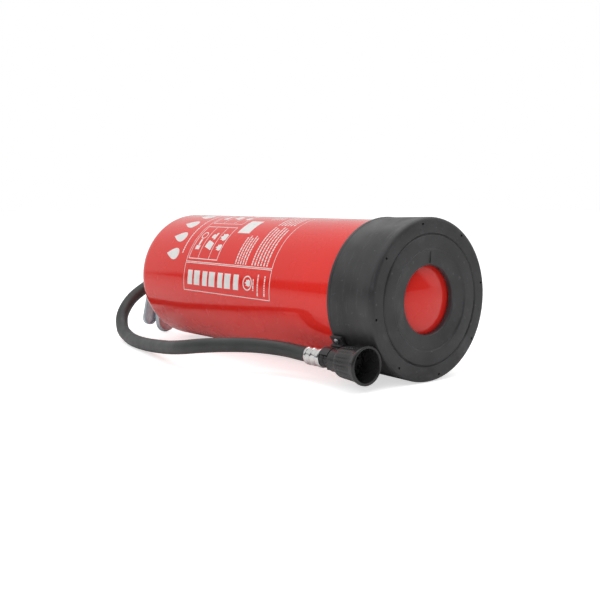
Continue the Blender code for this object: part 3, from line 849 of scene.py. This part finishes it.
class EXTINGUISHER_OT_label(bpy.types.Operator):
    """Print the label: frames, plain blocks, small pictures and lines of dashes"""

    bl_idname = "extinguisher.label"
    bl_label = "Label"

    def execute(self, context):
        far = 2.0 * LABEL_MID - LABEL_LOW
        upper = 2.0 * LABEL_MID - LABEL_SPLIT
        frames = Print()
        frames.lines(LABEL_FOOT, LABEL_HEAD, LABEL_LOW, LABEL_SPLIT - 0.3, 0.9)
        frames.lines(LABEL_FOOT, LABEL_HEAD, LABEL_SPLIT + 0.3, upper - 0.3, 0.9)
        frames.lines(LABEL_FOOT, LABEL_HEAD, upper + 0.3, far, 0.9)
        for low, high in ((21.6, 57.5), (62.5, 98.4)):
            frames.lines(305.0, 373.0, low, high, 1.1)
            frames.bar(325.2, 326.1, low + 1.0, high - 1.0)
            frames.bar(350.4, 351.3, low + 1.0, high - 1.0)
        belong(frames.bend("label_frames", "ink"), "white_plastic")

        blocks = Print()
        headline(blocks)
        blocks.bar(268.5, 294.5, 50.5, 69.5)
        for i in range(5):
            blocks.drop(417.0 + 3.0 * (2 - abs(i - 2)), LABEL_MID + 17.6 * (i - 2), 31.0)
        belong(blocks.bend("label_blocks", "ink"), "white_plastic")

        pictures = Print()
        panel_shapes(pictures, 21.6, 57.5)
        panel_shapes(pictures, 62.5, 98.4)
        pictures.ring(230.0, 5.6, 9.6, 1.6)
        pictures.flame(229.5, 5.6, 11.0)
        belong(pictures.bend("label_pictures", "ink"), "white_plastic")

        words = Print()
        for k in range(6):
            words.dashes(195.0 + 6.1 * k, 2.3, 20.4, 57.0 + 2.0 * (k % 3), k)
            words.dashes(195.0 + 6.1 * k, 2.3, 63.0, 99.0 - 3.0 * (k % 2), k + 4)
        for k in range(5):
            words.dashes(239.5 + 5.4 * k, 2.2, 20.4, 46.0 + 2.0 * (k % 2), k + 2)
            words.dashes(239.5 + 5.4 * k, 2.2, 74.0, 99.0, k + 5)
        words.dashes(391.5, 2.4, 26.0, 94.0, 5)
        for h, low, high in ((193.6, -3.6, 12.6), (207.4, -3.8, 13.4), (216.6, 0.0, 9.4)):
            words.dashes(h, 2.2, low, high, int(h) % 7)
        belong(words.bend("label_dashes", "ink"), "white_plastic")
        return {"FINISHED"}


# ---- foot ring ---------------------------------------------------------------
def dished(r, out_r, deep):
    return BASE_RIM_H - deep * math.sqrt(max(0.0, 1.0 - (r / out_r) ** 2))


class EXTINGUISHER_OT_foot_ring(bpy.types.Operator):
    """Make the moulded foot ring with its grooves, drain holes and mould marks"""

    bl_idname = "extinguisher.foot_ring"
    bl_label = "Foot ring"

    def execute(self, context):
        steps = context.scene.extinguisher_stage.steps
        inner_r = SHELL_R + 0.6
        deep = BASE_DEEP + 1.0
        lip_r = FOOT_HOLE_R + 4.0
        profile = [
            (91.1, 74.5, 0.3), (93.2, 74.5, 0.8), (94.0, 73.4, 0.6), (94.0, 69.9, 0.4),
            (93.4, 69.1, 0.4), (95.0, 4.6, 2.2), (93.9, 1.5, 1.8), (91.2, 0.0, 2.4),
            (GROOVE_R + 1.6, 0.0, 0.3), (GROOVE_R, 1.8, 0.4), (GROOVE_R - 1.6, 0.0, 0.3),
            (BOSS_R + 1.5, 0.0, 0.6), (BOSS_R, 1.5, 0.8), (FOOT_HOLE_R + 1.6, 2.6, 0.8),
            (FOOT_HOLE_R, 4.2, 0.9), (FOOT_HOLE_R, dished(FOOT_HOLE_R, inner_r, deep), 0.0),
            (lip_r, dished(lip_r, inner_r, deep), 0.0), (lip_r + 1.0, 6.0, 0.0), (81.0, 6.0, 0.0),
            (82.0, dished(82.0, inner_r, deep)), (88.6, dished(88.6, inner_r, deep)),
            (91.1, dished(91.1, inner_r, deep)),
        ]
        ring = turned("foot_ring_moulded", profile, UP, "ring", steps, sharp=40.0)
        cutters = []
        for i in range(DRAIN_COUNT):
            a = math.radians(DRAIN_START + i * 360.0 / DRAIN_COUNT)
            spot = UP @ Matrix.Translation((DRAIN_R * MM * math.cos(a), DRAIN_R * MM * math.sin(a), 0.0))
            bm = bmesh.new()
            add_prism(bm, circle(1.5, 20), -2.0, 5.2)
            cutters.append(mesh_object("drain_%d" % i, bm, spot, "ring"))
        carve(ring, cutters)
        belong(ring, "black_plastic", "foot_ring")

        # round ejector marks of the mould, and its seam across the upper boss
        bm = bmesh.new()
        for i in range(DRAIN_COUNT):
            a = math.radians(MARK_START + i * 360.0 / DRAIN_COUNT)
            x = MARK_R * math.cos(a)
            y = MARK_R * math.sin(a)
            add_prism(bm, circle(2.6, 24, x, y), -0.12, 0.6)
        seam = math.radians(LEVER_DOWN + 90.0)
        side = Vector((math.cos(seam), math.sin(seam)))
        across = Vector((-side.y, side.x)) * 0.35
        near = side * (FOOT_HOLE_R + 2.5)
        far = side * (BOSS_R - 2.0)
        ends = (near + across, far + across, far - across, near - across)
        add_prism(bm, [(p.x, p.y) for p in ends], 1.2, 3.4)
        marks = mesh_object("mould_marks", bm, UP, "ring")
        belong(marks, "black_plastic")
        return {"FINISHED"}


# ---- nozzle ------------------------------------------------------------------
class EXTINGUISHER_OT_nozzle(bpy.types.Operator):
    """Make the nozzle: fluted barrel, spray plate, ribbed grip and crimped ferrule"""

    bl_idname = "extinguisher.nozzle"
    bl_label = "Nozzle"

    def execute(self, context):
        back = BARREL_LONG
        deep = 0.45
        profile = [
            (12.0, back, 0.3), (13.6, back, 0.7), (13.6, 39.5, 0.6), (17.2, 37.6, 0.9),
            (18.3, 34.0, 1.0, deep), (18.7, 28.0, 0.0, deep), (19.6, 15.0, 2.0, deep),
            (20.4, 9.0, 1.0, deep * 0.3), (21.6, 4.8, 1.5), (MOUTH_R, 3.2, 0.8), (MOUTH_R, 0.9, 0.7),
            (MOUTH_R - 0.9, 0.0, 0.7), (19.4, 0.0, 0.8), (18.7, 1.4, 0.8), (18.2, 12.0, 3.0),
            (16.6, 30.0, 0.8), (16.6, 34.0, 0.3), (8.6, 34.0, 0.3), (8.6, back - 3.0, 0.2),
            (12.0, back - 3.0, 0.2),
        ]
        barrel = turned("nozzle_barrel_fluted", profile, NOZZLE, "nozzle", 192, wave=grooves(16, 4.0))
        belong(barrel, "black_gloss", "nozzle_barrel")
        dress("spray_plate", "nozzle", 0.25)

        low = back + 0.4
        high = back + GRIP_LONG - 0.3
        profile = [
            (6.3, high, 0.3), (9.9, high, 0.5), (10.8, high - 1.0, 0.4, 0.8), (10.8, high - 6.4, 0.4, 0.8),
            (9.8, high - 7.0, 0.3), (9.8, high - 8.8, 0.3), (10.8, high - 9.4, 0.4, 0.8),
            (10.8, low + 1.0, 0.4, 0.8), (9.9, low, 0.4), (6.3, low, 0.3),
        ]
        grip = turned("nozzle_grip_ribbed", profile, NOZZLE, "nozzle", 240, wave=grooves(24, 1.4))
        belong(grip, "black_gloss", "nozzle_grip")

        low = back + GRIP_LONG + 0.3
        high = back + GRIP_LONG + FERRULE_LONG
        ferrule = turned("nozzle_ferrule_crimped", ferrule_profile(low, high, 8.3), NOZZLE, "nickel", 96,
                         wave=grooves(8, 1.0))
        belong(ferrule, "bright_metal", "nozzle_ferrule")
        dress("nozzle_tail", "brass", 0.15)
        return {"FINISHED"}


def ferrule_profile(low, high, neck):
    """Pressed sleeve with two crimped bands, from its fitting end to its hose end."""
    crimp = 0.45
    return [
        (9.9, high, 0.3), (11.0, high, 0.4), (11.4, high - 1.2, 0.4), (11.4, high - 3.6, 0.6),
        (10.9, high - 5.0, 0.6, crimp), (10.9, high - 10.0, 0.6, crimp), (11.5, high - 11.4, 0.5),
        (11.5, high - 12.8, 0.5), (10.9, high - 14.2, 0.6, crimp), (10.9, low + 7.6, 0.6, crimp),
        (11.6, low + 6.0, 0.6), (11.8, low + 1.4, 0.6), (11.0, low, 0.4), (neck, low, 0.3),
        (neck, low + 3.2, 0.3), (9.9, low + 3.2, 0.3),
    ]


class EXTINGUISHER_OT_clip(bpy.types.Operator):
    """Finish the nozzle's clip and its screws"""

    bl_idname = "extinguisher.clip"
    bl_label = "Nozzle clip"

    def execute(self, context):
        dress("nozzle_clip", "ring", 0.5, 50.0)
        dress("clip_screw_1", "zinc", 0.15)
        dress("clip_screw_2", "zinc", 0.15)
        return {"FINISHED"}


# ---- hose --------------------------------------------------------------------
def smooth_route(points, steps):
    """Smooth curve through the points, with slopes set by their spacing."""
    count = len(points)
    gaps = [(points[i + 1] - points[i]).length for i in range(count - 1)]
    slopes = [(points[1] - points[0]) / gaps[0]]
    for i in range(1, count - 1):
        before = (points[i] - points[i - 1]) / gaps[i - 1]
        after = (points[i + 1] - points[i]) / gaps[i]
        slopes.append((after * gaps[i - 1] + before * gaps[i]) / (gaps[i - 1] + gaps[i]))
    slopes.append((points[-1] - points[-2]) / gaps[-1])
    out = []
    for i in range(count - 1):
        for k in range(steps):
            t = k / steps
            a = points[i] * (1.0 + 2.0 * t) * (1.0 - t) ** 2
            b = slopes[i] * gaps[i] * t * (1.0 - t) ** 2
            c = points[i + 1] * t * t * (3.0 - 2.0 * t)
            d = slopes[i + 1] * gaps[i] * t * t * (t - 1.0)
            out.append(a + b + c + d)
    out.append(points[-1])
    return out


class EXTINGUISHER_OT_hose(bpy.types.Operator):
    """Lay the hose along its route from the valve to the nozzle"""

    bl_idname = "extinguisher.hose"
    bl_label = "Hose"

    def execute(self, context):
        route = []
        for back, y, z in HOSE_ROUTE:
            route.append(Vector((FOOT_X - back * MM, AXIS_Y + y * MM, z * MM)))
        points = smooth_route(route, 8)
        curve = bpy.data.curves.new("hose_rubber_tube", "CURVE")
        curve.dimensions = "3D"
        curve.bevel_depth = HOSE_R * MM
        curve.bevel_resolution = 8
        curve.use_fill_caps = True
        spline = curve.splines.new("POLY")
        spline.points.add(len(points) - 1)
        for i, point in enumerate(points):
            spline.points[i].co = (point.x, point.y, point.z, 1.0)
        spline.use_smooth = True
        hose = bpy.data.objects.new("hose_rubber_tube", curve)
        context.scene.collection.objects.link(hose)
        curve.materials.append(finish("hose"))
        belong(hose, "rubber", "hose")
        return {"FINISHED"}


# ---- valve -------------------------------------------------------------------
def make_stem_spring():
    """Coil spring under the stem, made here as a fixed coil; the real one shortens as the lever presses the
    stem.
    """
    coils = 4
    turn_steps = 24
    coil_r = 6.3 * MM
    wire_r = 0.6
    low = 523.6
    high = 542.0
    curve = bpy.data.curves.new("stem_spring_coil", "CURVE")
    curve.dimensions = "3D"
    curve.bevel_depth = wire_r * MM
    curve.bevel_resolution = 3
    curve.use_fill_caps = True
    spline = curve.splines.new("POLY")
    count = coils * turn_steps
    spline.points.add(count)
    for i in range(count + 1):
        a = math.tau * i / turn_steps
        h = low + (high - low) * i / count
        p = UP @ Vector((coil_r * math.cos(a), coil_r * math.sin(a), h * MM))
        spline.points[i].co = (p.x, p.y, p.z, 1.0)
    spline.use_smooth = True
    draft = bpy.data.objects.new("stem_spring_draft", curve)
    bm = bmesh.new()
    bm.from_mesh(bpy.data.meshes.new_from_object(draft))
    bpy.data.objects.remove(draft, do_unlink=True)
    bmesh.ops.remove_doubles(bm, verts=bm.verts, dist=0.00001)
    spring = mesh_object("stem_spring_coil", bm, Matrix.Identity(4), "zinc")
    belong(spring, "zinc", "stem_spring")
    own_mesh(spring)


class EXTINGUISHER_OT_valve(bpy.types.Operator):
    """Finish the valve, its gasket, stem and hose fitting"""

    bl_idname = "extinguisher.valve"
    bl_label = "Valve"

    def execute(self, context):
        out = spoke(OUTLET_AT, OUTLET_H)
        profile = [
            (4.9, 46.0, 0.2), (4.9, 26.6, 0.2), (8.2, 26.0, 0.4), (10.0, 24.9, 0.4), (10.6, 24.0, 0.3, 10.6),
            (10.6, 18.6, 0.3, 10.6), (9.6, 17.8, 0.3), (4.2, 17.6, 0.2), (4.2, 10.5, 0.2),
            (2.6, 10.5, 0.2), (2.6, 46.0, 0.2),
        ]
        nut = turned("hose_fitting_nut", profile, out, "nickel", 96, wave=hexagon)
        belong(nut, "bright_metal", "hose_fitting")
        ferrule = turned("hose_ferrule_crimped", ferrule_profile(26.9, 47.0, 6.0), out, "nickel", 96,
                         wave=grooves(8, 1.0))
        belong(ferrule, "bright_metal", "hose_ferrule")
        dress("valve_body", "nickel", 0.3)
        dress("neck_gasket", "seal", 0.3)
        dress("valve_stem", "brass", 0.15)
        dress("stem_seal", "seal", 0.2)
        make_stem_spring()
        for node in ("tube_holder", "dip_tube", "dip_tube_strainer"):
            dress(node, "white", 0.2)
        return {"FINISHED"}


# ---- gauge -------------------------------------------------------------------
def dial_arc(name, place, low_turn, high_turn, inner, outer, key):
    """Thin printed arc on the dial."""
    bm = bmesh.new()
    count = 16
    outline = []
    for radius, order in ((outer, range(count + 1)), (inner, range(count, -1, -1))):
        for i in order:
            a = math.radians(low_turn + (high_turn - low_turn) * i / count)
            outline.append((radius * math.cos(a), radius * math.sin(a)))
    add_prism(bm, outline, GAUGE_DIAL_TOP - 0.2, GAUGE_DIAL_TOP + 0.06)
    return belong(mesh_object(name, bm, place, key), "white_plastic")


class EXTINGUISHER_OT_gauge(bpy.types.Operator):
    """Make the pressure gauge's rim, dial print, needle and lens"""

    bl_idname = "extinguisher.gauge"
    bl_label = "Pressure gauge"

    def execute(self, context):
        place = spoke(180.0, GAUGE_H)
        profile = [
            (13.4, 33.6, 0.5), (13.4, 25.6, 0.6), (12.6, 24.6, 0.5), (5.6, 24.0, 0.3, 5.6),
            (5.6, 18.0, 0.3, 5.6), (3.2, 17.6, 0.1), (3.2, 10.4, 0.2), (1.2, 10.4, 0.1),
            (1.2, 26.4, 0.1), (12.2, 26.4, 0.1), (12.2, 33.6, 0.4),
        ]
        case = turned("gauge_case_turned", profile, place, "brass", 96, wave=hexagon)
        belong(case, "brass", "gauge_case")
        dress("gauge_dial", "white", 0.1)
        dress("gauge_needle", "dial_black", 0.08)
        dress("gauge_lens", "lens", 0.1)
        dial_arc("dial_red_low", place, 190.0, 240.0, 8.2, 10.6, "dial_red")
        dial_arc("dial_green_band", place, 130.0, 188.0, 8.2, 10.6, "dial_green")
        dial_arc("dial_red_high", place, 60.0, 128.0, 8.2, 10.6, "dial_red")
        bm = bmesh.new()
        for i in range(9):
            turn = Matrix.Rotation(math.radians(60.0 + 22.5 * i), 2)
            tick = [turn @ Vector(p) for p in ((6.6, -0.16), (7.9, -0.16), (7.9, 0.16), (6.6, 0.16))]
            add_prism(bm, [(p.x, p.y) for p in tick], GAUGE_DIAL_TOP - 0.2, GAUGE_DIAL_TOP + 0.06)
        belong(mesh_object("dial_ticks", bm, place, "dial_black"), "white_plastic")
        return {"FINISHED"}


# ---- levers ------------------------------------------------------------------
class EXTINGUISHER_OT_levers(bpy.types.Operator):
    """Finish the carry handle, the operating lever and their pins"""

    bl_idname = "extinguisher.levers"
    bl_label = "Levers"

    def execute(self, context):
        dress("carry_handle", "zinc", 0.45)
        dress("operating_lever", "zinc", 0.45)
        for node in ("lever_pin", "handle_pin_1", "handle_pin_2"):
            dress(node, "zinc", 0.3)
        return {"FINISHED"}


class EXTINGUISHER_OT_safety_pin(bpy.types.Operator):
    """Finish the safety pin and its pull ring"""

    bl_idname = "extinguisher.safety_pin"
    bl_label = "Safety pin"

    def execute(self, context):
        dress("safety_pin", "zinc", 0.2)
        dress("pull_ring", "zinc")
        return {"FINISHED"}


# ---- panel and registration --------------------------------------------------
OPERATORS = (
    EXTINGUISHER_OT_stage,
    EXTINGUISHER_OT_shell,
    EXTINGUISHER_OT_label,
    EXTINGUISHER_OT_foot_ring,
    EXTINGUISHER_OT_nozzle,
    EXTINGUISHER_OT_clip,
    EXTINGUISHER_OT_hose,
    EXTINGUISHER_OT_valve,
    EXTINGUISHER_OT_gauge,
    EXTINGUISHER_OT_levers,
    EXTINGUISHER_OT_safety_pin,
)


class EXTINGUISHER_PT_panel(bpy.types.Panel):
    """Lists the steps that make the extinguisher"""

    bl_idname = "EXTINGUISHER_PT_panel"
    bl_label = "Fire extinguisher"
    bl_space_type = "VIEW_3D"
    bl_region_type = "UI"
    bl_category = "Extinguisher"

    def draw(self, context):
        layout = self.layout
        look = context.scene.extinguisher_look
        stage = context.scene.extinguisher_stage
        for name in look.__annotations__:
            layout.prop(look, name)
        for name in stage.__annotations__:
            layout.prop(stage, name)
        for operator in OPERATORS:
            layout.operator(operator.bl_idname)


CLASSES = (ExtinguisherLook, ExtinguisherStage) + OPERATORS + (EXTINGUISHER_PT_panel,)


def register():
    for item in CLASSES:
        bpy.utils.register_class(item)
    bpy.types.Scene.extinguisher_look = PointerProperty(type=ExtinguisherLook)
    bpy.types.Scene.extinguisher_stage = PointerProperty(type=ExtinguisherStage)


def unregister():
    del bpy.types.Scene.extinguisher_stage
    del bpy.types.Scene.extinguisher_look
    for item in reversed(CLASSES):
        bpy.utils.unregister_class(item)


def main():
    register()
    bpy.ops.extinguisher.stage()
    bpy.ops.extinguisher.shell()
    bpy.ops.extinguisher.label()
    bpy.ops.extinguisher.foot_ring()
    bpy.ops.extinguisher.nozzle()
    bpy.ops.extinguisher.clip()
    bpy.ops.extinguisher.hose()
    bpy.ops.extinguisher.valve()
    bpy.ops.extinguisher.gauge()
    bpy.ops.extinguisher.levers()
    bpy.ops.extinguisher.safety_pin()


if __name__ == "__main__":
    main()
